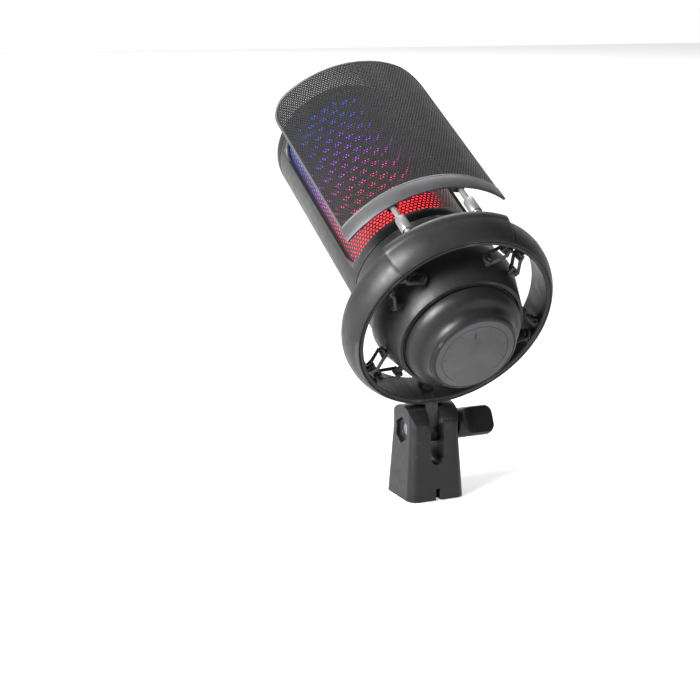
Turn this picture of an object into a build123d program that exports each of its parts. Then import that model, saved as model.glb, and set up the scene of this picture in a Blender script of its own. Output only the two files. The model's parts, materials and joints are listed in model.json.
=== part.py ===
from build123d import *
from math import cos, degrees, radians, sin
import os

# Condenser microphone hung in an elastic shock-mount ring on a stand bracket.
# Millimetres, +Z up along the bracket, origin at the mouth of its stand thread.
# The microphone side is described by bearings from the front of its hinge plane,
# radii from the microphone's axis and heights above the middle of the ring.

os.makedirs("parts", exist_ok=True)

# Stand bracket
hinge_height = 32.0
base_width = 29.0
base_depth = 28.0
ear_width = 25.0
ear_depth = 24.0
slot_width = 6.8
slot_drop = 11.8
bore_radius = 3.05
screw_radius = 3.0
nut_flats = 11.0
nut_thickness = 4.6
nut_floor = 6.2
insert_radius = 9.5
thread_radius = 7.94
thread_length = 13.0

# Thumb knob
knob_start = 14.4
knob_length = 20.0
knob_radius = 7.15
paddle_half = 3.4
paddle_turn = 64.0

# Pose of the microphone about the hinge
rest_tilt = -61.0
hinge_reach = 61.5
hinge_level = -9.0
face_turn = -14.0

# Ring
ring_inner = 44.5
liner_outer = 46.2
ring_top = 7.9
ring_bottom = -8.4
dock_half_angle = 34.0
dock_inner = 47.2
dock_top = 8.8
dock_seat = 6.4
lug_inner = 46.3
lug_outer = 50.3
lug_top = 5.5
lug_foot = -7.2
pad_foot = -2.5
pad_width = 16.0
lug_half = 3.2
screw_levels = (3.4, -0.4)

# Elastic suspension
cord_groups = (41.0, 115.0, -115.0, -41.0)
post_spread = 6.0
hook_spread = 13.0
cord_level = -5.0
post_radius = 1.6
hook_radius = 1.4
cap_lip = 0.6
cord_radius = 0.85

# Microphone body
body_radius = 33.5
seam_level = 29.7
window_bottom = 35.7
window_top = 131.0
front_window = 75.0
rear_window = 48.0
frame_top = 134.0
body_top = 141.0
capsule_level = 92.0

# Pop filter
filter_radius = 51.5
filter_bottom = 25.5
band_top = 34.0
filter_top = 131.5
filter_half_angle = 47.5
filter_corner = 12.0
pin_bearing = 19.1
pin_reach = 49.5
spigot_radius = 1.9
sleeve_foot = 9.1
sleeve_top = 17.6
rod_radius = 1.3

# Frame of the microphone side
tilt = radians(rest_tilt)
mic_up = Vector(0, -sin(tilt), cos(tilt))
mic_front = Vector(0, -cos(tilt), -sin(tilt))
mic_right = Vector(1, 0, 0)
mic_centre = Vector(0, 0, hinge_height) + mic_front * hinge_reach - mic_up * hinge_level
mic_axis = Axis(mic_centre, mic_up)


def outward(bearing):
    """Direction away from the microphone's axis at a bearing from the front."""
    return mic_front * cos(radians(bearing)) + mic_right * sin(radians(bearing))


def level(height):
    """Plane square to the microphone's axis, with its x to the right and its y to the back."""
    return Plane(mic_centre + mic_up * height, x_dir=mic_right, z_dir=mic_up)


def side(bearing):
    """Plane through the axis: its x runs outwards at the bearing and its y runs up the microphone."""
    direction = outward(bearing)
    return Plane(mic_centre, x_dir=direction, z_dir=direction.cross(mic_up))


def spoke(bearing, height, reach):
    """Plane facing outwards at a bearing, height and reach, with its y up the microphone."""
    direction = outward(bearing)
    return Plane(
        mic_centre + mic_up * height + direction * reach,
        x_dir=mic_up.cross(direction),
        z_dir=direction,
    )


def mic_point(bearing, height, reach):
    """Point at a bearing, height and reach from the microphone's axis."""
    return mic_centre + mic_up * height + outward(bearing) * reach


def turn(outline, start=0.0, arc=360.0, mode=Mode.ADD):
    """Turn a closed outline of (radius, height) points about the microphone's axis."""
    with BuildSketch(side(start)) as profile:
        with BuildLine():
            Polyline(*outline, close=True)
        make_face()
    revolve(profile.sketch, axis=mic_axis, revolution_arc=arc, mode=mode)


def rod(plane, radius, length, mode=Mode.ADD):
    """Round bar that stands on a plane's origin."""
    with BuildSketch(plane) as profile:
        Circle(radius)
    extrude(profile.sketch, amount=length, mode=mode)


def block(plane, width, height, length, mode=Mode.ADD):
    """Square bar that stands on a plane's origin."""
    with BuildSketch(plane) as profile:
        Rectangle(width, height)
    extrude(profile.sketch, amount=length, mode=mode)


# ---------------------------------------------------------------- stand bracket

with BuildPart() as bracket:
    with BuildSketch(Plane.XY):
        RectangleRounded(base_width, base_depth, 5.0)
    with BuildSketch(Plane.XY.offset(hinge_height)):
        RectangleRounded(ear_width, ear_depth, 4.4)
    loft()
    with BuildSketch(Plane.XY.offset(hinge_height)):
        RectangleRounded(ear_width, ear_depth, 4.4)
    extrude(amount=ear_depth / 2)
    with BuildSketch(Plane.YZ.offset(-base_width / 2)):
        with Locations((0, hinge_height + ear_depth / 2)):
            Rectangle(2 * ear_depth, ear_depth)
        with Locations((0, hinge_height)):
            Circle(ear_depth / 2, mode=Mode.SUBTRACT)
    extrude(amount=base_width, mode=Mode.SUBTRACT)
    with BuildSketch(Plane.XZ.offset(-base_depth / 2)):
        with Locations((0, hinge_height - slot_drop)):
            Circle(slot_width / 2)
            Rectangle(slot_width, 2 * ear_depth, align=(Align.CENTER, Align.MIN))
    extrude(amount=base_depth, mode=Mode.SUBTRACT)
    with BuildSketch(Plane.YZ.offset(-base_width / 2)):
        with Locations((0, hinge_height)):
            Circle(bore_radius)
    extrude(amount=base_width, mode=Mode.SUBTRACT)
    with BuildSketch(Plane.YZ.offset(-nut_floor)):
        with Locations((0, hinge_height)):
            RegularPolygon(nut_flats / 2, 6, major_radius=False, rotation=30)
    extrude(amount=-base_width / 2, mode=Mode.SUBTRACT)
    with BuildSketch(Plane.XY):
        Circle(insert_radius)
    extrude(amount=thread_length + 0.4, mode=Mode.SUBTRACT)
    with BuildSketch(Plane.XZ.offset(insert_radius + 0.1)):
        with Locations((0, 2.7)):
            Rectangle(2.6, 5.4)
    extrude(amount=base_depth / 2, mode=Mode.SUBTRACT)
bracket.part.label = "bracket"
export_step(bracket.part, "parts/bracket.step")

with BuildPart() as thread_insert:
    with BuildSketch(Plane.XY):
        Circle(insert_radius)
        Circle(thread_radius, mode=Mode.SUBTRACT)
    extrude(amount=thread_length)
thread_insert.part.label = "thread_insert"
export_step(thread_insert.part, "parts/thread_insert.step")

with BuildPart() as insert_lock_tab:
    with BuildSketch(Plane.XZ.offset(insert_radius + 0.1)):
        with Locations((0, 2.6)):
            Rectangle(2.4, 5.2)
    extrude(amount=1.15)
insert_lock_tab.part.label = "insert_lock_tab"
export_step(insert_lock_tab.part, "parts/insert_lock_tab.step")

with BuildPart() as clamp_nut:
    with BuildSketch(Plane.YZ.offset(-nut_floor)):
        with Locations((0, hinge_height)):
            RegularPolygon(nut_flats / 2 - 0.1, 6, major_radius=False, rotation=30)
            Circle(bore_radius, mode=Mode.SUBTRACT)
    extrude(amount=-nut_thickness)
clamp_nut.part.label = "clamp_nut"
export_step(clamp_nut.part, "parts/clamp_nut.step")

# ---------------------------------------------------------------- clamp screw and thumb knob

with BuildPart() as clamp_screw:
    with BuildSketch(Plane.YZ.offset(-nut_floor - nut_thickness + 0.6)):
        with Locations((0, hinge_height)):
            Circle(screw_radius)
    extrude(amount=knob_start + 4.0 + nut_floor + nut_thickness - 0.6)
clamp_screw.part.label = "clamp_screw"
export_step(clamp_screw.part, "parts/clamp_screw.step")

scoop_radius = 9.0
scoop_reach = 9.5
paddle_plane = Plane(
    Vector(knob_start, 0, hinge_height),
    x_dir=(1, 0, 0),
    z_dir=(0, cos(radians(paddle_turn)), sin(radians(paddle_turn))),
)
with BuildPart() as thumb_knob:
    with BuildSketch(Plane.YZ.offset(knob_start)):
        with Locations((0, hinge_height)):
            Circle(knob_radius)
    extrude(amount=knob_length)
    fillet(thumb_knob.edges().group_by(Axis.X)[-1], 3.2)
    with BuildSketch(Plane.YZ.offset(knob_start - 1.2)):
        with Locations((0, hinge_height)):
            Circle(4.6)
    extrude(amount=1.2)
    with BuildSketch(paddle_plane):
        for flank in (1, -1):
            with Locations((scoop_reach, flank * (paddle_half + scoop_radius))):
                Circle(scoop_radius)
            with Locations((scoop_reach + 6, flank * (paddle_half + knob_radius / 2))):
                Rectangle(12, knob_radius)
    extrude(amount=knob_radius + 1, both=True, mode=Mode.SUBTRACT)
    with BuildSketch(Plane.YZ.offset(knob_start - 1.2)):
        with Locations((0, hinge_height)):
            Circle(screw_radius)
    extrude(amount=5.2, mode=Mode.SUBTRACT)
thumb_knob.part.label = "thumb_knob"
export_step(thumb_knob.part, "parts/thumb_knob.step")

# ---------------------------------------------------------------- shock-mount ring

dock_pocket = [
    (dock_inner, -12),
    (57, -12),
    (57, 12),
    (46, 12),
    (46, dock_seat),
    (dock_inner, dock_seat),
]
lug_outline = [
    (lug_inner, lug_foot),
    (lug_inner, lug_top),
    (lug_outer, lug_top),
    (hinge_reach + 5.4, hinge_level + 5.4),
    (hinge_reach - 5.4, hinge_level - 5.4),
]
lug_plane = side(180).offset(-lug_half)
pad_height = lug_top - pad_foot
pad_level = (lug_top + pad_foot) / 2

with BuildPart() as ring_shell:
    with BuildSketch(side(0)):
        with BuildLine():
            ThreePointArc((47.2, ring_bottom), (49.5, -4.4), (50.5, 0.6))
            ThreePointArc((50.5, 0.6), (50.3, 4.4), (49.3, 7.0))
            Polyline((49.3, 7.0), (48.4, ring_top), (liner_outer, ring_top))
            Polyline((liner_outer, ring_top), (liner_outer, -7.8))
            Polyline((liner_outer, -7.8), (46.8, ring_bottom), (47.2, ring_bottom))
        make_face()
    revolve(axis=mic_axis)
    turn(dock_pocket, face_turn - dock_half_angle, 2 * dock_half_angle, Mode.SUBTRACT)
    block(spoke(180, pad_level, lug_inner), pad_width, pad_height, 6, Mode.SUBTRACT)
    with BuildSketch(lug_plane) as lug_cut:
        with BuildLine():
            Polyline(*lug_outline, close=True)
        make_face()
    extrude(lug_cut.sketch, amount=2 * lug_half, mode=Mode.SUBTRACT)
    for height in screw_levels:
        rod(spoke(180, height, 44), 1.6, 8, Mode.SUBTRACT)
ring_shell.part.label = "ring_shell"
export_step(ring_shell.part, "parts/ring_shell.step")

with BuildPart() as ring_liner:
    turn(
        [
            (ring_inner, 7.5),
            (liner_outer, 7.5),
            (liner_outer, -8.2),
            (ring_inner + 0.5, -8.2),
            (ring_inner, -7.7),
        ]
    )
    for height in screw_levels:
        rod(spoke(180, height, 43), 1.6, 4, Mode.SUBTRACT)
    for group in cord_groups:
        for offset_angle in (-post_spread, post_spread):
            bearing = face_turn + group + offset_angle
            rod(spoke(bearing, cord_level, 41.2), post_radius, 3.6)
            rod(spoke(bearing, cord_level, 40.4), post_radius + cap_lip, 0.9)
ring_liner.part.label = "ring_liner"
export_step(ring_liner.part, "parts/ring_liner.step")

with BuildPart() as filter_dock:
    with BuildSketch(side(face_turn - dock_half_angle)):
        with BuildLine():
            ThreePointArc((47.4, -8.2), (50.4, -3.8), (51.9, 2.6))
            ThreePointArc((51.9, 2.6), (51.7, 7.0), (50.0, dock_top))
            Polyline((50.0, dock_top), (46.4, dock_top), (46.4, dock_seat), (dock_inner, dock_seat))
            Polyline((dock_inner, dock_seat), (dock_inner, -8.2), (47.4, -8.2))
        make_face()
    revolve(axis=mic_axis, revolution_arc=2 * dock_half_angle)
    for bearing in (-pin_bearing, pin_bearing):
        hole_foot = mic_point(face_turn + bearing, -0.4, pin_reach)
        rod(Plane(hole_foot, z_dir=mic_up), spigot_radius + 0.05, 12, Mode.SUBTRACT)
filter_dock.part.label = "filter_dock"
export_step(filter_dock.part, "parts/filter_dock.step")

with BuildPart() as hinge_lug:
    with BuildSketch(lug_plane):
        with Locations((hinge_reach, hinge_level)):
            RegularPolygon(7.6, 8, rotation=22.5)
        with BuildLine():
            Polyline(*lug_outline, close=True)
        make_face()
    extrude(amount=2 * lug_half)
    block(spoke(180, pad_level, lug_inner), pad_width, pad_height, lug_outer - lug_inner)
    with BuildSketch(lug_plane):
        with Locations((hinge_reach, hinge_level)):
            Circle(bore_radius)
    extrude(amount=2 * lug_half, mode=Mode.SUBTRACT)
    for height in screw_levels:
        rod(spoke(180, height, lug_inner), 1.35, 5.5, Mode.SUBTRACT)
hinge_lug.part.label = "hinge_lug"
export_step(hinge_lug.part, "parts/hinge_lug.step")

with BuildPart() as lug_screws:
    for height in screw_levels:
        rod(spoke(180, height, 43.3), 2.4, 1.1)
        rod(spoke(180, height, 44.4), 1.3, 6.0)
lug_screws.part.label = "lug_screws"
export_step(lug_screws.part, "parts/lug_screws.step")

# ---------------------------------------------------------------- elastic cords

for number, group in enumerate(cord_groups, 1):
    with BuildPart() as elastic_cord:
        for flank in (-1, 1):
            for side_sign in (-1, 1):
                start = mic_point(
                    face_turn + group + flank * post_spread,
                    cord_level + side_sign * (post_radius + cap_lip + cord_radius + 0.1),
                    42.6,
                )
                end = mic_point(
                    face_turn + group + flank * hook_spread,
                    cord_level + side_sign * (hook_radius + cap_lip + cord_radius + 0.1),
                    34.3,
                )
                run = end - start
                rod(Plane(start, z_dir=run), cord_radius, run.length)
    elastic_cord.part.label = f"elastic_cord_{number}"
    export_step(elastic_cord.part, f"parts/elastic_cord_{number}.step")

# ---------------------------------------------------------------- cradle and lower casing

with BuildPart() as cradle_cup:
    turn([(32.6, 6.8), (35.0, 6.8), (35.0, 4.0), (29.8, -14.3), (28.3, -14.3)])
    for group in cord_groups:
        for offset_angle in (-hook_spread, hook_spread):
            bearing = face_turn + group + offset_angle
            rod(spoke(bearing, cord_level, 31.6), hook_radius, 4.6)
            rod(spoke(bearing, cord_level, 35.5), hook_radius + cap_lip, 0.9)
cradle_cup.part.label = "cradle_cup"
export_step(cradle_cup.part, "parts/cradle_cup.step")

with BuildPart() as cradle_pad:
    turn([(31.4, 4.0), (31.9, 4.0), (29.5, -8.0), (29.0, -8.0)])
cradle_pad.part.label = "cradle_pad"
export_step(cradle_pad.part, "parts/cradle_pad.step")

port_level = 15.0
port_bearing = 180 + face_turn
with BuildPart() as base_shell:
    turn(
        [
            (body_radius, seam_level),
            (body_radius, 7.2),
            (31.9, 7.2),
            (27.7, -14.0),
            (25.9, -14.0),
            (29.6, 7.0),
            (29.6, 34.5),
            (31.3, 34.5),
            (31.3, seam_level),
        ]
    )
    block(spoke(port_bearing, port_level, 25), 9.4, 3.7, 12, Mode.SUBTRACT)
base_shell.part.label = "base_shell"
export_step(base_shell.part, "parts/base_shell.step")

with BuildPart() as usb_port:
    block(spoke(port_bearing, port_level, 25.6), 9.0, 3.3, 7.6)
    block(spoke(port_bearing, port_level, 27.0), 7.8, 2.1, 7.0, Mode.SUBTRACT)
    block(spoke(port_bearing, port_level, 26.8), 6.4, 0.7, 5.0)
usb_port.part.label = "usb_port"
export_step(usb_port.part, "parts/usb_port.step")

with BuildPart() as usb_board:
    block(spoke(port_bearing, port_level, 24.0), 16.0, 12.0, 1.6)
usb_board.part.label = "usb_board"
export_step(usb_board.part, "parts/usb_board.step")

plate_screws = (0, 120, 240)
plate_screw_reach = 22.5
with BuildPart() as bottom_plate:
    turn([(3.2, -13.9), (25.7, -13.9), (25.7, -12.0), (3.2, -12.0)])
    for bearing in plate_screws:
        foot = mic_point(bearing, -14.5, plate_screw_reach)
        rod(Plane(foot, z_dir=mic_up), 1.3, 4, Mode.SUBTRACT)
bottom_plate.part.label = "bottom_plate"
export_step(bottom_plate.part, "parts/bottom_plate.step")

with BuildPart() as base_screws:
    for bearing in plate_screws:
        rod(Plane(mic_point(bearing, -14.7, plate_screw_reach), z_dir=mic_up), 2.2, 0.8)
        rod(Plane(mic_point(bearing, -13.9, plate_screw_reach), z_dir=mic_up), 1.2, 8)
base_screws.part.label = "base_screws"
export_step(base_screws.part, "parts/base_screws.step")

with BuildPart() as screw_bosses:
    for bearing in plate_screws:
        post = Plane(mic_point(bearing, -12.0, plate_screw_reach), z_dir=mic_up)
        rod(post, 3.0, 9)
        rod(post, 1.25, 7, Mode.SUBTRACT)
screw_bosses.part.label = "screw_bosses"
export_step(screw_bosses.part, "parts/screw_bosses.step")

# ---------------------------------------------------------------- gain control

with BuildPart() as potentiometer:
    turn([(3.06, -12.0), (8.5, -12.0), (8.5, -4.5), (0, -4.5), (0, -5.5), (3.06, -5.5)])
potentiometer.part.label = "potentiometer"
export_step(potentiometer.part, "parts/potentiometer.step")

with BuildPart() as gain_shaft:
    rod(level(-25.6), 3.0, 19.6)
gain_shaft.part.label = "gain_shaft"
export_step(gain_shaft.part, "parts/gain_shaft.step")

with BuildPart() as gain_knob:
    with BuildSketch(side(0)):
        with BuildLine():
            Polyline((0, -28.1), (19.6, -28.1), (20.5, -27.3))
            ThreePointArc((20.5, -27.3), (21.3, -23.8), (23.9, -21.6))
            ThreePointArc((23.9, -21.6), (26.5, -18.9), (27.5, -14.9))
            Polyline((27.5, -14.9), (25.3, -14.9), (24.3, -17.4), (19.4, -22.6))
            Polyline((19.4, -22.6), (17.6, -25.6), (0, -25.6), (0, -28.1))
        make_face()
    revolve(axis=mic_axis)
    turn([(3.0, -25.6), (5.6, -25.6), (5.6, -15.5), (3.0, -15.5)])
gain_knob.part.label = "gain_knob"
export_step(gain_knob.part, "parts/gain_knob.step")

# ---------------------------------------------------------------- upper casing and light

with BuildPart() as body_frame:
    turn([(31.4, 30.1), (body_radius, 30.1), (body_radius, frame_top), (31.4, frame_top)])
    opening = [(30, window_bottom), (35, window_bottom), (35, window_top), (30, window_top)]
    turn(opening, face_turn - front_window, 2 * front_window, Mode.SUBTRACT)
    turn(opening, face_turn + 180 - rear_window, 2 * rear_window, Mode.SUBTRACT)
body_frame.part.label = "body_frame"
export_step(body_frame.part, "parts/body_frame.step")

with BuildPart() as grille:
    turn([(30.6, 34.7), (31.2, 34.7), (31.2, 132.2), (30.6, 132.2)])
grille.part.label = "grille"
export_step(grille.part, "parts/grille.step")

with BuildPart() as light_diffuser:
    turn([(28.8, 34.7), (30.2, 34.7), (30.2, 132.2), (28.8, 132.2)])
light_diffuser.part.label = "light_diffuser"
export_step(light_diffuser.part, "parts/light_diffuser.step")

strip_reach = 26.6
strip_bearings = (-115, -65, 65, 115)
with BuildPart() as light_strips:
    for bearing in strip_bearings:
        block(spoke(face_turn + bearing, 84.0, strip_reach - 1.2), 8.0, 90.0, 1.2)
light_strips.part.label = "light_strips"
export_step(light_strips.part, "parts/light_strips.step")

led_count = 9
led_pitch = 10.0
with BuildPart() as light_chips:
    for bearing in strip_bearings:
        for step in range(led_count):
            height = 84.0 + (step - (led_count - 1) / 2) * led_pitch
            block(spoke(face_turn + bearing, height, strip_reach), 3.5, 3.5, 1.0)
light_chips.part.label = "light_chips"
export_step(light_chips.part, "parts/light_chips.step")

with BuildPart() as top_cap:
    with BuildSketch(side(0)):
        with BuildLine():
            Polyline((0, body_top), (30.4, body_top))
            ThreePointArc((30.4, body_top), (32.6, 140.1), (body_radius, 137.9))
            Polyline((body_radius, 137.9), (body_radius, 134.3), (31.2, 134.3), (31.2, 132.4))
            Polyline((31.2, 132.4), (29.2, 132.4), (29.2, 138.6), (0, 138.6), (0, body_top))
        make_face()
    revolve(axis=mic_axis)
    rod(level(body_top - 0.7), 9.2, 2, Mode.SUBTRACT)
top_cap.part.label = "top_cap"
export_step(top_cap.part, "parts/top_cap.step")

with BuildPart() as mute_pad:
    rod(level(body_top - 0.7), 9.0, 0.6)
mute_pad.part.label = "mute_pad"
export_step(mute_pad.part, "parts/mute_pad.step")

with BuildPart() as touch_board:
    rod(level(137.0), 14.0, 1.6)
touch_board.part.label = "touch_board"
export_step(touch_board.part, "parts/touch_board.step")

# ---------------------------------------------------------------- capsule and electronics

board_depth = 7.0
with BuildPart() as main_board:
    block(spoke(180, 30.0, board_depth), 44.0, 64.0, 1.6)
main_board.part.label = "main_board"
export_step(main_board.part, "parts/main_board.step")

with BuildPart() as board_chips:
    for across, height, size in ((-12, 20, 8), (6, 18, 6), (13, 40, 9), (-10, 44, 5), (0, 32, 4)):
        chip_plane = Plane(
            mic_centre + mic_up * height + mic_right * across - mic_front * board_depth,
            x_dir=mic_right,
            z_dir=mic_front,
        )
        block(chip_plane, size, size, 1.2)
board_chips.part.label = "board_chips"
export_step(board_chips.part, "parts/board_chips.step")

with BuildPart() as capsule_post:
    block(Plane(mic_point(180, 62.0, board_depth + 0.8), x_dir=mic_right, z_dir=mic_up), 8, 3, 14.4)
capsule_post.part.label = "capsule_post"
export_step(capsule_post.part, "parts/capsule_post.step")

capsule_plane = spoke(face_turn + 180, capsule_level, -5.5)
with BuildPart() as capsule:
    with BuildSketch(capsule_plane):
        Circle(12.5)
    extrude(amount=11.0)
    fillet(capsule.faces().sort_by(Axis(mic_centre, outward(face_turn)))[-1].edges(), 1.2)
capsule.part.label = "capsule"
export_step(capsule.part, "parts/capsule.step")

with BuildPart() as capsule_mount:
    with BuildSketch(capsule_plane.offset(1.5)):
        Circle(15.5)
        Circle(12.55, mode=Mode.SUBTRACT)
    extrude(amount=9.0)
capsule_mount.part.label = "capsule_mount"
export_step(capsule_mount.part, "parts/capsule_mount.step")

# ---------------------------------------------------------------- pop filter

filter_start = face_turn - filter_half_angle
filter_arc = 2 * filter_half_angle

with BuildPart() as filter_mesh:
    turn(
        [
            (filter_radius - 0.3, band_top),
            (filter_radius + 0.3, band_top),
            (filter_radius + 0.3, filter_top),
            (filter_radius - 0.3, filter_top),
        ],
        filter_start,
        filter_arc,
    )
    for flank in (-1, 1):
        corner_bearing = filter_half_angle - degrees(filter_corner / filter_radius)
        corner_level = filter_top - filter_corner
        with BuildSketch(spoke(face_turn + flank * corner_bearing, corner_level, filter_radius - 3)):
            with Locations((flank * filter_corner, filter_corner)):
                Rectangle(2 * filter_corner, 2 * filter_corner)
            Circle(filter_corner, mode=Mode.SUBTRACT)
        extrude(amount=6, mode=Mode.SUBTRACT)
filter_mesh.part.label = "filter_mesh"
export_step(filter_mesh.part, "parts/filter_mesh.step")

with BuildPart() as filter_band:
    turn(
        [
            (filter_radius - 0.6, filter_bottom),
            (filter_radius + 0.6, filter_bottom),
            (filter_radius + 0.6, band_top),
            (filter_radius - 0.6, band_top),
        ],
        filter_start,
        filter_arc,
    )
filter_band.part.label = "filter_band"
export_step(filter_band.part, "parts/filter_band.step")

with BuildPart() as filter_sleeves:
    for bearing in (-pin_bearing, pin_bearing):
        foot = Plane(mic_point(face_turn + bearing, 0, pin_reach), z_dir=mic_up)
        rod(foot, spigot_radius, sleeve_foot)
        rod(foot.offset(sleeve_foot), 2.6, sleeve_top - sleeve_foot)
        rod(foot.offset(sleeve_top - 7.0), rod_radius, 7.0, Mode.SUBTRACT)
filter_sleeves.part.label = "filter_sleeves"
export_step(filter_sleeves.part, "parts/filter_sleeves.step")

with BuildPart() as filter_rods:
    for bearing in (-pin_bearing, pin_bearing):
        rod_foot = mic_point(face_turn + bearing, sleeve_top - 7.0, pin_reach)
        rod(Plane(rod_foot, z_dir=mic_up), rod_radius, 22.0)
filter_rods.part.label = "filter_rods"
export_step(filter_rods.part, "parts/filter_rods.step")

with BuildPart() as filter_clips:
    for bearing in (-pin_bearing, pin_bearing):
        block(spoke(face_turn + bearing, 30.2, pin_reach - 2.3), 5.0, 5.6, 3.5)
        clip_foot = mic_point(face_turn + bearing, 26, pin_reach)
        rod(Plane(clip_foot, z_dir=mic_up), rod_radius, 8, Mode.SUBTRACT)
filter_clips.part.label = "filter_clips"
export_step(filter_clips.part, "parts/filter_clips.step")
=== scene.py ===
import json
import math

import bmesh
import bpy
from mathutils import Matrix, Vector


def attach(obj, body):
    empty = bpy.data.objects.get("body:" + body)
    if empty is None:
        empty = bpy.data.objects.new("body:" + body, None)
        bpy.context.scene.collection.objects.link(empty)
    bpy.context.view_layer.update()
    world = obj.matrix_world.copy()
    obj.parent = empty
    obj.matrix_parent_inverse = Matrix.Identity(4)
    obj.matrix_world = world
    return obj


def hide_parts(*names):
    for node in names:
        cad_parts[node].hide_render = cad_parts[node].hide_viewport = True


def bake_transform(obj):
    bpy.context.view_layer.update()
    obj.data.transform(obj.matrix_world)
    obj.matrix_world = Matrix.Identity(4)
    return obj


# Looks of a condenser microphone on an elastic shock mount. The microphone side is
# described as in the CAD: bearings from the front of its hinge plane in degrees,
# radii from its axis and heights above the middle of the ring in millimetres.

MM = 0.001

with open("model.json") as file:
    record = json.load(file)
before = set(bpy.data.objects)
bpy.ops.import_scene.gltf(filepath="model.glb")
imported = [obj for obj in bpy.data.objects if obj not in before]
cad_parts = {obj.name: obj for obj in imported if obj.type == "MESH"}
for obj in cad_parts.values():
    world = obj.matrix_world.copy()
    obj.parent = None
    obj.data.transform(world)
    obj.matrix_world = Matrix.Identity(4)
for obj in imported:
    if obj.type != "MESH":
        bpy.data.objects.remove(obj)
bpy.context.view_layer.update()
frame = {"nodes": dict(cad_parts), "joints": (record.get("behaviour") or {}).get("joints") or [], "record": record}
joints = {joint["name"]: joint for joint in frame["joints"]}
slot_of = {part["node"]: part["material_slot"] for part in frame["record"]["subparts"]}

MIC_UP = Vector(joints["suspension"]["axis"]).normalized()
MIC_CENTRE = Vector(joints["gain_turn"]["pos_m"])
MIC_RIGHT = Vector((1, 0, 0))
MIC_FRONT = MIC_RIGHT.cross(MIC_UP)
FACE_TURN = -14.0

# Camera: its direction, and how far the ring's middle is right of, above and away from it
VIEW_AZIMUTH = math.radians(-24.36)
VIEW_ELEVATION = math.radians(12.67)
LENS = 81.0
RING_RIGHT = 44.62 * MM
RING_UP = 16.26 * MM
RING_AWAY = 708.78 * MM

# Perforated sheets
FILTER_REACH = 51.5
FILTER_HALF_ANGLE = 47.5
FILTER_LOW = 34.0
FILTER_HIGH = 131.5
FILTER_CORNER = 12.0
FILTER_PITCH = 1.45
FILTER_RIM = 1.3
GRILLE_REACH = 31.0
GRILLE_LOW = 34.8
GRILLE_HIGH = 132.0
GRILLE_PITCH = 2.0

# Windows of the upper casing
CASING_INNER = 31.4
CASING_OUTER = 33.5
FRONT_WINDOW = 75.0
REAR_WINDOW = 48.0
WINDOW_LOW = 35.7
WINDOW_HIGH = 131.0
WINDOW_CORNER = 8.0

# Elastic cords
CORD_GROUPS = (41.0, 115.0, -115.0, -41.0)
POST_SPREAD = 6.0
HOOK_SPREAD = 13.0
CORD_LEVEL = -5.0
CORD_RADIUS = 0.85
CORD_CLEAR = 3.15

# Gain knob's lower face
KNOB_FACE = -28.1


def outward(bearing):
    """Direction away from the microphone's axis at a bearing from the front."""
    angle = math.radians(bearing)
    return MIC_FRONT * math.cos(angle) + MIC_RIGHT * math.sin(angle)


def spot(bearing, height, reach):
    """Point at a bearing, height and reach from the microphone's axis, in metres."""
    return MIC_CENTRE + MIC_UP * (height * MM) + outward(bearing) * (reach * MM)


# ---------------------------------------------------------------- camera, light and floor


def add_camera():
    """Camera at the viewing angle, with the ring in its place in the frame."""
    right = Vector((math.cos(VIEW_AZIMUTH), math.sin(VIEW_AZIMUTH), 0))
    back = Vector(
        (
            math.sin(VIEW_AZIMUTH) * math.cos(VIEW_ELEVATION),
            -math.cos(VIEW_AZIMUTH) * math.cos(VIEW_ELEVATION),
            math.sin(VIEW_ELEVATION),
        )
    )
    up = back.cross(right)
    camera_data = bpy.data.cameras.new("camera")
    camera_data.lens = LENS
    camera_data.sensor_width = 36.0
    camera_data.clip_start = 0.01
    camera_data.clip_end = 50.0
    camera = bpy.data.objects.new("camera", camera_data)
    camera.location = MIC_CENTRE - right * RING_RIGHT - up * RING_UP + back * RING_AWAY
    camera.rotation_mode = "QUATERNION"
    camera.rotation_quaternion = (-back).to_track_quat("-Z", "Y")
    bpy.context.collection.objects.link(camera)
    bpy.context.scene.camera = camera


def add_light(name, place, aim, size, power):
    """Square soft light that faces a point."""
    light_data = bpy.data.lights.new(name, "AREA")
    light_data.shape = "SQUARE"
    light_data.size = size
    light_data.energy = power
    light = bpy.data.objects.new(name, light_data)
    light.location = place
    light.rotation_mode = "QUATERNION"
    light.rotation_quaternion = (Vector(aim) - Vector(place)).to_track_quat("-Z", "Y")
    bpy.context.collection.objects.link(light)


def add_world():
    """White backdrop behind the object that fades to a dim room in front of it."""
    world = bpy.data.worlds.new("studio")
    world.use_nodes = True
    nodes = world.node_tree.nodes
    links = world.node_tree.links
    direction = nodes.new("ShaderNodeTexCoord").outputs["Generated"]
    parts = nodes.new("ShaderNodeSeparateXYZ")
    links.new(direction, parts.inputs["Vector"])
    backdrop = spread(nodes, links, parts.outputs["Y"], 0.12, 1.0, -0.1, 0.45)
    links.new(backdrop, nodes["Background"].inputs["Strength"])
    nodes["Background"].inputs["Color"].default_value = (1, 1, 1, 1)
    bpy.context.scene.world = world


def add_floor():
    """Pale matt floor with a faint glow of its own, so that it stays light far away."""
    bpy.ops.mesh.primitive_plane_add(size=12, location=(0, 0, -0.0005))
    floor = bpy.context.object
    floor.name = "floor"
    material = bpy.data.materials.new("floor")
    material.use_nodes = True
    shader = material.node_tree.nodes["Principled BSDF"]
    shader.inputs["Base Color"].default_value = (0.5, 0.5, 0.5, 1)
    shader.inputs["Roughness"].default_value = 0.9
    shader.inputs["Specular IOR Level"].default_value = 0.0
    shader.inputs["Emission Color"].default_value = (1, 1, 1, 1)
    shader.inputs["Emission Strength"].default_value = 0.5
    floor.data.materials.append(material)


# ---------------------------------------------------------------- materials


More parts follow.
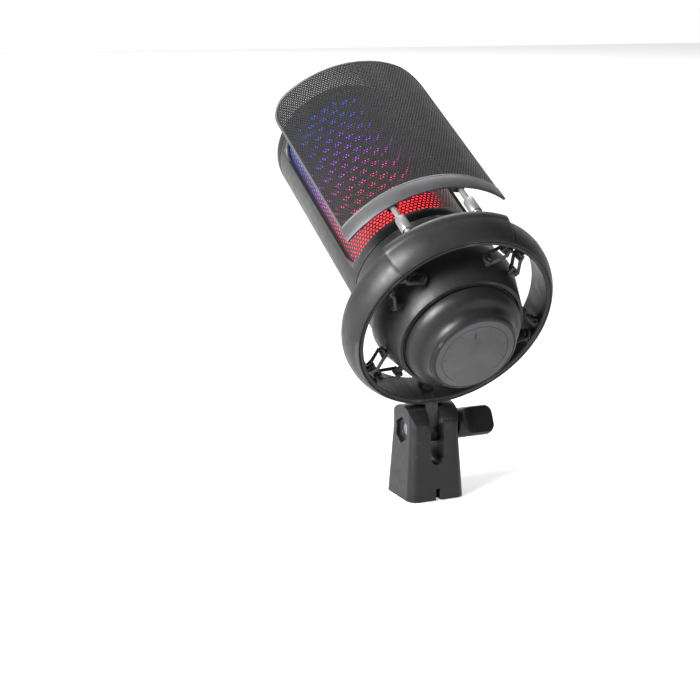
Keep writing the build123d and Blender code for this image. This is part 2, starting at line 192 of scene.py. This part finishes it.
def new_material(name):
    """Material with an empty Principled shader, as (material, nodes, links, shader)."""
    material = bpy.data.materials.new(name)
    material.use_nodes = True
    tree = material.node_tree
    return material, tree.nodes, tree.links, tree.nodes["Principled BSDF"]


def noise(nodes, links, scale, detail=3.0, stretch=None):
    """Noise over the object's own coordinates; returns its factor output."""
    place = nodes.new("ShaderNodeTexCoord")
    texture = nodes.new("ShaderNodeTexNoise")
    texture.inputs["Scale"].default_value = scale
    texture.inputs["Detail"].default_value = detail
    if stretch:
        mapping = nodes.new("ShaderNodeMapping")
        mapping.inputs["Scale"].default_value = stretch
        links.new(place.outputs["Object"], mapping.inputs["Vector"])
        links.new(mapping.outputs["Vector"], texture.inputs["Vector"])
    else:
        links.new(place.outputs["Object"], texture.inputs["Vector"])
    return texture.outputs["Fac"]


def spread(nodes, links, source, low, high, start=0.3, end=0.7):
    """Maps a factor from start..end onto low..high."""
    node = nodes.new("ShaderNodeMapRange")
    node.inputs["From Min"].default_value = start
    node.inputs["From Max"].default_value = end
    node.inputs["To Min"].default_value = low
    node.inputs["To Max"].default_value = high
    links.new(source, node.inputs["Value"])
    return node.outputs["Result"]


def tint(nodes, links, source, dark, light):
    """Colour that runs from dark to light with a factor."""
    node = nodes.new("ShaderNodeMix")
    node.data_type = "RGBA"
    node.inputs["A"].default_value = (*dark, 1)
    node.inputs["B"].default_value = (*light, 1)
    links.new(source, node.inputs["Factor"])
    return node.outputs["Result"]


def bump(nodes, links, height, distance):
    """Bump from a height factor, in metres."""
    node = nodes.new("ShaderNodeBump")
    node.inputs["Distance"].default_value = distance
    node.inputs["Strength"].default_value = 1.0
    links.new(height, node.inputs["Height"])
    return node.outputs["Normal"]


def surface(name, colour, roughness, grain, depth, metallic=0.0, stretch=None, wear=0.02):
    """Coated or moulded surface: clouded colour, uneven roughness, grain and rubbed edges."""
    material, nodes, links, shader = new_material(name)
    cloud = spread(nodes, links, noise(nodes, links, 90.0), 0, 1)
    dark = [channel * 0.85 for channel in colour]
    light = [channel * 1.2 for channel in colour]
    clouded = tint(nodes, links, cloud, dark, light)
    edges = nodes.new("ShaderNodeNewGeometry").outputs["Pointiness"]
    rubbed = nodes.new("ShaderNodeMix")
    rubbed.data_type = "RGBA"
    rubbed.inputs["B"].default_value = (*[channel + wear for channel in colour], 1)
    links.new(spread(nodes, links, edges, 0, 1, 0.53, 0.62), rubbed.inputs["Factor"])
    links.new(clouded, rubbed.inputs["A"])
    links.new(rubbed.outputs["Result"], shader.inputs["Base Color"])
    smears = noise(nodes, links, 260.0, 5.0, stretch)
    links.new(
        spread(nodes, links, smears, roughness - 0.06, roughness + 0.06),
        shader.inputs["Roughness"],
    )
    fine = noise(nodes, links, 1000.0 / grain, 2.0, stretch)
    links.new(bump(nodes, links, fine, depth * MM), shader.inputs["Normal"])
    shader.inputs["Metallic"].default_value = metallic
    shader.inputs["Specular IOR Level"].default_value = 0.22
    return material


def along_axis(nodes, links, low, high):
    """Factor that runs from 0 to 1 between two heights on the microphone's axis."""
    place = nodes.new("ShaderNodeTexCoord").outputs["Object"]
    offset = nodes.new("ShaderNodeVectorMath")
    offset.operation = "SUBTRACT"
    offset.inputs[1].default_value = MIC_CENTRE
    links.new(place, offset.inputs[0])
    dot = nodes.new("ShaderNodeVectorMath")
    dot.operation = "DOT_PRODUCT"
    dot.inputs[1].default_value = MIC_UP
    links.new(offset.outputs["Vector"], dot.inputs[0])
    return spread(nodes, links, dot.outputs["Value"], 0, 1, low * MM, high * MM)


def lit_diffuser():
    """Milky tube lit red at its foot, then magenta and violet, and blue at its top."""
    material, nodes, links, shader = new_material("light_diffuser")
    height = along_axis(nodes, links, GRILLE_LOW, GRILLE_HIGH)
    ramp = nodes.new("ShaderNodeValToRGB")
    ramp.color_ramp.elements[0].color = (1.0, 0.01, 0.015, 1)
    ramp.color_ramp.elements[0].position = 0.1
    ramp.color_ramp.elements[1].color = (0.02, 0.08, 1.0, 1)
    ramp.color_ramp.elements[1].position = 0.9
    for position, colour in ((0.35, (1.0, 0.01, 0.16, 1)), (0.6, (0.32, 0.02, 0.85, 1))):
        ramp.color_ramp.elements.new(position).color = colour
    links.new(height, ramp.inputs["Fac"])
    links.new(ramp.outputs["Color"], shader.inputs["Emission Color"])
    patches = noise(nodes, links, 45.0, 2.0)
    links.new(spread(nodes, links, patches, 4.0, 8.0), shader.inputs["Emission Strength"])
    shader.inputs["Base Color"].default_value = (0.3, 0.25, 0.3, 1)
    shader.inputs["Roughness"].default_value = 0.5
    return material


def make_materials():
    """One material for each slot of the record, and three for details: the scale print, and two paler copies that
    are painted sheen on the filter's band and rim and painted reflection on the knob's face.
    """
    return {
        "black_nylon": surface("black_nylon", (0.006, 0.006, 0.0065), 0.38, 0.35, 0.02),
        "ring_plastic": surface("ring_plastic", (0.011, 0.011, 0.0115), 0.42, 0.3, 0.012),
        "body_plastic": surface("body_plastic", (0.01, 0.01, 0.0105), 0.4, 0.3, 0.01),
        "knob_plastic": surface("knob_plastic", (0.007, 0.007, 0.0075), 0.4, 0.25, 0.012),
        "gloss_black": surface("gloss_black", (0.01, 0.01, 0.011), 0.12, 1.5, 0.002),
        "soft_rubber": surface("soft_rubber", (0.015, 0.015, 0.015), 0.7, 0.5, 0.03),
        "elastic_cord": surface("elastic_cord", (0.012, 0.012, 0.013), 0.75, 0.4, 0.08),
        "grille_steel": surface("grille_steel", (0.02, 0.02, 0.021), 0.38, 0.4, 0.01),
        "filter_steel": surface("filter_steel", (0.01, 0.01, 0.0105), 0.4, 0.4, 0.008, 0.3),
        "black_steel": surface("black_steel", (0.02, 0.02, 0.021), 0.35, 0.5, 0.01, 0.5),
        "grey_steel": surface("grey_steel", (0.2, 0.2, 0.205), 0.35, 0.4, 0.008, 0.7),
        "plated_steel": surface(
            "plated_steel", (0.3, 0.3, 0.31), 0.35, 0.8, 0.006, 1.0, (8, 1, 1)
        ),
        "light_chip": surface("light_chip", (0.85, 0.85, 0.8), 0.2, 0.8, 0.01),
        "circuit_board": surface("circuit_board", (0.02, 0.09, 0.05), 0.3, 0.8, 0.02),
        "chip_black": surface("chip_black", (0.02, 0.02, 0.02), 0.5, 0.3, 0.01),
        "capsule_brass": surface("capsule_brass", (0.6, 0.45, 0.2), 0.3, 0.5, 0.01, 1.0),
        # Lit copy of the filter steel for the band and rim: painted sheen from the key light, not a different
        # steel.
        "filter_steel_painted_sheen": surface("filter_steel_painted_sheen", (0.042, 0.042, 0.044), 0.42, 0.4, 0.008, 0.3),
        # Paler grey for the knob's lower face: painted reflection, not the knob's own colour.
        "knob_face_painted_reflection": surface("knob_face_painted_reflection", (0.05, 0.05, 0.052), 0.45, 0.25, 0.01),
        "scale_print": surface("scale_print", (0.02, 0.02, 0.02), 0.6, 0.5, 0.004),
        "light_diffuser": lit_diffuser(),
    }


# ---------------------------------------------------------------- mesh helpers


def mesh_piece(name, points, faces, material, body):
    """Smooth mesh from points and faces that rides on a body."""
    mesh = bpy.data.meshes.new(name)
    mesh.from_pydata(points, [], faces)
    mesh.validate()
    mesh.shade_smooth()
    mesh.set_sharp_from_angle(angle=math.radians(35))
    piece = bpy.data.objects.new(name, mesh)
    bpy.context.collection.objects.link(piece)
    piece.data.materials.append(material)
    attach(piece, body)
    return piece


def apply_modifiers(piece):
    """Turns a piece's modifiers into real faces."""
    graph = bpy.context.evaluated_depsgraph_get()
    mesh = bpy.data.meshes.new_from_object(piece.evaluated_get(graph))
    piece.modifiers.clear()
    piece.data = mesh


def wrapped(bearing, reach):
    """Maps (along, height, proud) of a flat sheet onto a cylinder round the axis."""

    def place(along, height, proud=0.0):
        return spot(bearing + math.degrees(along / reach), height, reach + proud)

    return place


def perforated(name, place, width, low, high, pitch, hole, inside, material, body):
    """Staggered hexagonal holes punched in a sheet bent round the axis."""
    columns = round(width / pitch)
    rows = round((high - low) / (pitch * 0.866))
    cell_width = width / columns
    cell_height = (high - low) / rows
    corners = ((-1, -1), (0, -1), (1, -1), (1, 1), (0, 1), (-1, 1))
    holes = [(math.cos(math.radians(a)), math.sin(math.radians(a))) for a in (210, 270, 330, 30, 90, 150)]
    sheet = bmesh.new()
    known = {}

    def vertex(along, height):
        key = (round(along, 3), round(height, 3))
        if key not in known:
            known[key] = sheet.verts.new(place(along, height))
        return known[key]

    for row in range(rows):
        middle = low + (row + 0.5) * cell_height
        shift = 0.25 if row % 2 else -0.25
        for column in range(columns):
            along = (column + 0.5 + shift - columns / 2) * cell_width
            if not inside(along, middle):
                continue
            outer = [
                vertex(along + x * cell_width / 2, middle + y * cell_height / 2) for x, y in corners
            ]
            inner = [vertex(along + x * hole / 2, middle + y * hole / 2) for x, y in holes]
            for index in range(6):
                following = (index + 1) % 6
                sheet.faces.new((outer[index], outer[following], inner[following], inner[index]))
    mesh = bpy.data.meshes.new(name)
    sheet.to_mesh(mesh)
    sheet.free()
    piece = bpy.data.objects.new(name, mesh)
    bpy.context.collection.objects.link(piece)
    mesh.materials.append(material)
    thickness = piece.modifiers.new("thickness", "SOLIDIFY")
    thickness.thickness = 0.5 * MM
    thickness.offset = 0
    apply_modifiers(piece)
    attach(piece, body)
    return piece


def ribbon(name, place, inner, outer, thickness, closed, material, body):
    """Curved sheet between two matching outlines, given as (along, height) points."""
    count = len(inner)
    points = [place(along, height) for along, height in inner + outer]
    last = count if closed else count - 1
    faces = [(i, (i + 1) % count, count + (i + 1) % count, count + i) for i in range(last)]
    piece = mesh_piece(name, points, faces, material, body)
    depth = piece.modifiers.new("thickness", "SOLIDIFY")
    depth.thickness = thickness * MM
    depth.offset = 0
    apply_modifiers(piece)
    return piece


def rounded_outline(half_width, low, high, low_corner, high_corner, inset):
    """Points round an upright rectangle with rounded corners, the same number at any inset."""
    arc_steps = 8
    side_steps = 40
    corners = (
        (1, low + low_corner, low_corner, -90),
        (1, high - high_corner, high_corner, 0),
        (-1, high - high_corner, high_corner, 90),
        (-1, low + low_corner, low_corner, 180),
    )
    arcs = []
    for flank, height, radius, start in corners:
        arc = []
        for step in range(arc_steps + 1):
            angle = math.radians(start + 90 * step / arc_steps)
            along = flank * (half_width - radius) + (radius - inset) * math.cos(angle)
            arc.append((along, height + (radius - inset) * math.sin(angle)))
        arcs.append(arc)
    points = []
    for arc, following in zip(arcs, arcs[1:] + arcs[:1]):
        points.extend(arc)
        for step in range(1, side_steps):
            share = step / side_steps
            points.append(tuple(a + (b - a) * share for a, b in zip(arc[-1], following[0])))
    return points


# ---------------------------------------------------------------- pieces


def add_filter(materials):
    """Perforated pop filter with rounded upper corners."""
    place = wrapped(FACE_TURN, FILTER_REACH)
    half_width = FILTER_REACH * math.radians(FILTER_HALF_ANGLE)

    def inside(along, height, margin=0.6):
        over = abs(along) - (half_width - FILTER_CORNER)
        above = height - (FILTER_HIGH - FILTER_CORNER)
        if over > 0 and above > 0:
            return math.hypot(over, above) < FILTER_CORNER - margin
        return abs(along) < half_width - margin

    mesh = perforated(
        "pop_filter_mesh",
        place,
        2 * half_width,
        FILTER_LOW,
        FILTER_HIGH,
        FILTER_PITCH,
        0.95,
        inside,
        materials["filter_steel"],
        "pop_filter",
    )
    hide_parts("filter_mesh")
    inner, outer = [
        rounded_outline(half_width, FILTER_LOW, FILTER_HIGH, 1.6, FILTER_CORNER, inset)
        for inset in (FILTER_RIM, 0.05)
    ]
    # The rim takes the same paler steel, painted sheen.
    rim = ribbon(
        "pop_filter_rim",
        place,
        inner,
        outer,
        0.6,
        True,
        materials["filter_steel_painted_sheen"],
        "pop_filter",
    )
    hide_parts("filter_mesh")


def add_grille(materials):
    """Perforated grille behind the front and rear windows."""
    for name, bearing, half_angle in (
        ("front_grille", FACE_TURN, FRONT_WINDOW + 4),
        ("rear_grille", FACE_TURN + 180, REAR_WINDOW + 4),
    ):
        sheet = perforated(
            name,
            wrapped(bearing, GRILLE_REACH),
            2 * GRILLE_REACH * math.radians(half_angle),
            GRILLE_LOW,
            GRILLE_HIGH,
            GRILLE_PITCH,
            1.4,
            lambda along, height: True,
            materials["grille_steel"],
            "microphone",
        )
        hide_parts("grille")


def add_window_corners(materials):
    """Rounded inner corners of the casing's front and rear windows."""
    reach = (CASING_INNER + CASING_OUTER) / 2
    for side_name, bearing, half_angle in (
        ("front", FACE_TURN, FRONT_WINDOW),
        ("rear", FACE_TURN + 180, REAR_WINDOW),
    ):
        place = wrapped(bearing, reach)
        edge = reach * math.radians(half_angle)
        for flank in (-1, 1):
            for level_name, level, rise in (("low", WINDOW_LOW, 1), ("high", WINDOW_HIGH, -1)):
                curved = []
                square = []
                for step in range(9):
                    angle = math.radians(90 * step / 8)
                    across = WINDOW_CORNER * (1 - math.sin(angle))
                    up = WINDOW_CORNER * (1 - math.cos(angle))
                    curved.append((flank * (edge - across), level + rise * up))
                    if step < 4:
                        square.append((flank * (edge - across), level))
                    elif step == 4:
                        square.append((flank * edge, level))
                    else:
                        square.append((flank * edge, level + rise * up))
                flank_name = "right" if flank > 0 else "left"
                ribbon(
                    f"{side_name}_window_corner_{level_name}_{flank_name}",
                    place,
                    curved,
                    square,
                    CASING_OUTER - CASING_INNER,
                    False,
                    materials["body_plastic"],
                    "microphone",
                )


def add_knob_painted_reflection(materials):
    """Paler disc on the gain knob's lower face: its grey is a painted reflection of the light the flat face
    catches, not the knob's own colour.
    """
    steps = 96
    points = [spot(0, KNOB_FACE - 0.02, 0)]
    points.extend(spot(360 * step / steps, KNOB_FACE - 0.02, 18.6) for step in range(steps))
    points.extend(spot(360 * step / steps, KNOB_FACE + 0.05, 18.9) for step in range(steps))
    faces = []
    for step in range(steps):
        following = (step + 1) % steps
        faces.append((0, 1 + following, 1 + step))
        faces.append((1 + step, 1 + following, 1 + steps + following, 1 + steps + step))
    mesh_piece("gain_knob_face_painted_reflection", points, faces, materials["knob_face_painted_reflection"], "gain")


def add_knob_scale(materials):
    """Faint printed arc and tick marks on the gain knob's lower face."""
    level = KNOB_FACE - 0.05
    points = []
    faces = []

    def patch(start, end, inner, outer, steps):
        for step in range(steps):
            bearings = [start + (end - start) * (step + more) / steps for more in (0, 1)]
            first = len(points)
            points.extend(spot(bearing, level, inner) for bearing in bearings)
            points.extend(spot(bearing, level, outer) for bearing in reversed(bearings))
            faces.append((first, first + 1, first + 2, first + 3))

    patch(FACE_TURN - 140, FACE_TURN + 140, 15.6, 15.95, 56)
    for tick in range(-5, 6):
        bearing = FACE_TURN + 28 * tick
        patch(bearing - 0.6, bearing + 0.6, 13.6, 15.0, 1)
    patch(FACE_TURN - 2.0, FACE_TURN + 2.0, 9.0, 12.8, 1)
    mesh_piece(
        "gain_scale_print", points, faces, materials["scale_print"], "gain"
    )


def cord_loop(post, hook, flank):
    """Points of one taut loop: half round the post's neck, straight to the hook and back."""
    points = []
    for neck, cap, bearing, radius, sign in (
        (42.9, 40.8, post, 2.5, -flank),
        (34.6, 36.0, hook, 2.3, flank),
    ):
        turned = math.degrees(radius / neck)
        half = [(cap, 0.0, CORD_CLEAR)]
        for step in range(13):
            angle = math.radians(-90 + 180 * step / 12)
            half.append((neck, sign * turned * math.cos(angle), -radius * math.sin(angle)))
        half.append((cap, 0.0, -CORD_CLEAR))
        if sign == flank:
            half.reverse()
        points.extend(
            spot(bearing + aside, CORD_LEVEL + height, reach) for reach, aside, height in half
        )
    return points


def add_cords(materials):
    """Closed elastic loops, each round a post of the ring and a hook of the cradle."""
    for number, group in enumerate(CORD_GROUPS, 1):
        curve = bpy.data.curves.new(f"elastic_loops_{number}", "CURVE")
        curve.dimensions = "3D"
        curve.bevel_depth = CORD_RADIUS * MM
        curve.bevel_resolution = 3
        for flank in (-1, 1):
            post = FACE_TURN + group + flank * POST_SPREAD
            hook = FACE_TURN + group + flank * HOOK_SPREAD
            points = cord_loop(post, hook, flank)
            spline = curve.splines.new("POLY")
            spline.points.add(len(points) - 1)
            spline.use_cyclic_u = True
            for spline_point, point in zip(spline.points, points):
                spline_point.co = (*point, 1)
        loops = bpy.data.objects.new(f"elastic_loops_{number}", curve)
        bpy.context.collection.objects.link(loops)
        graph = bpy.context.evaluated_depsgraph_get()
        mesh = bpy.data.meshes.new_from_object(loops.evaluated_get(graph))
        bpy.data.objects.remove(loops)
        piece = bpy.data.objects.new(f"elastic_loops_{number}", mesh)
        bpy.context.collection.objects.link(piece)
        mesh.materials.clear()
        mesh.materials.append(materials["elastic_cord"])
        spot(FACE_TURN + group, CORD_LEVEL, 42.0)
        spot(FACE_TURN + group, CORD_LEVEL, 35.0)
        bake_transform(piece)
        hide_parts(f"elastic_cord_{number}")


def finish_cad_nodes(materials):
    """Gives every CAD node its material and small rounded edges; the band gets a paler copy of the filter steel,
    painted sheen standing in for the key light it reflects.
    """
    for name, node in frame["nodes"].items():
        node.data.materials.clear()
        # The filter band's paler steel is painted sheen: a lit copy of the filter steel.
        look = "filter_steel_painted_sheen" if name == "filter_band" else slot_of[name]
        node.data.materials.append(materials[look])
        weld = node.modifiers.new("weld", "WELD")
        weld.merge_threshold = 0.000002
        rounding = node.modifiers.new("rounding", "BEVEL")
        rounding.width = 0.3 * MM
        rounding.segments = 2
        rounding.limit_method = "ANGLE"
        rounding.angle_limit = math.radians(40)
        rounding.harden_normals = True


add_camera()
add_world()
add_light("key", (-1.0, -0.3, 0.6), (0, 0, 0.12), 0.6, 62)
add_light("fill", (0.5, -1.0, 0.1), (0, 0, 0.1), 0.4, 2.5)
add_light("backdrop", (0.8, 3.5, 2.5), (0.8, 3.0, 0), 2.5, 130)
bpy.context.scene.view_settings.view_transform = "Standard"
add_floor()
material_set = make_materials()
finish_cad_nodes(material_set)
add_filter(material_set)
add_grille(material_set)
add_window_corners(material_set)
# Disc of painted reflection on the gain knob's lower face.
add_knob_painted_reflection(material_set)
add_knob_scale(material_set)
add_cords(material_set)
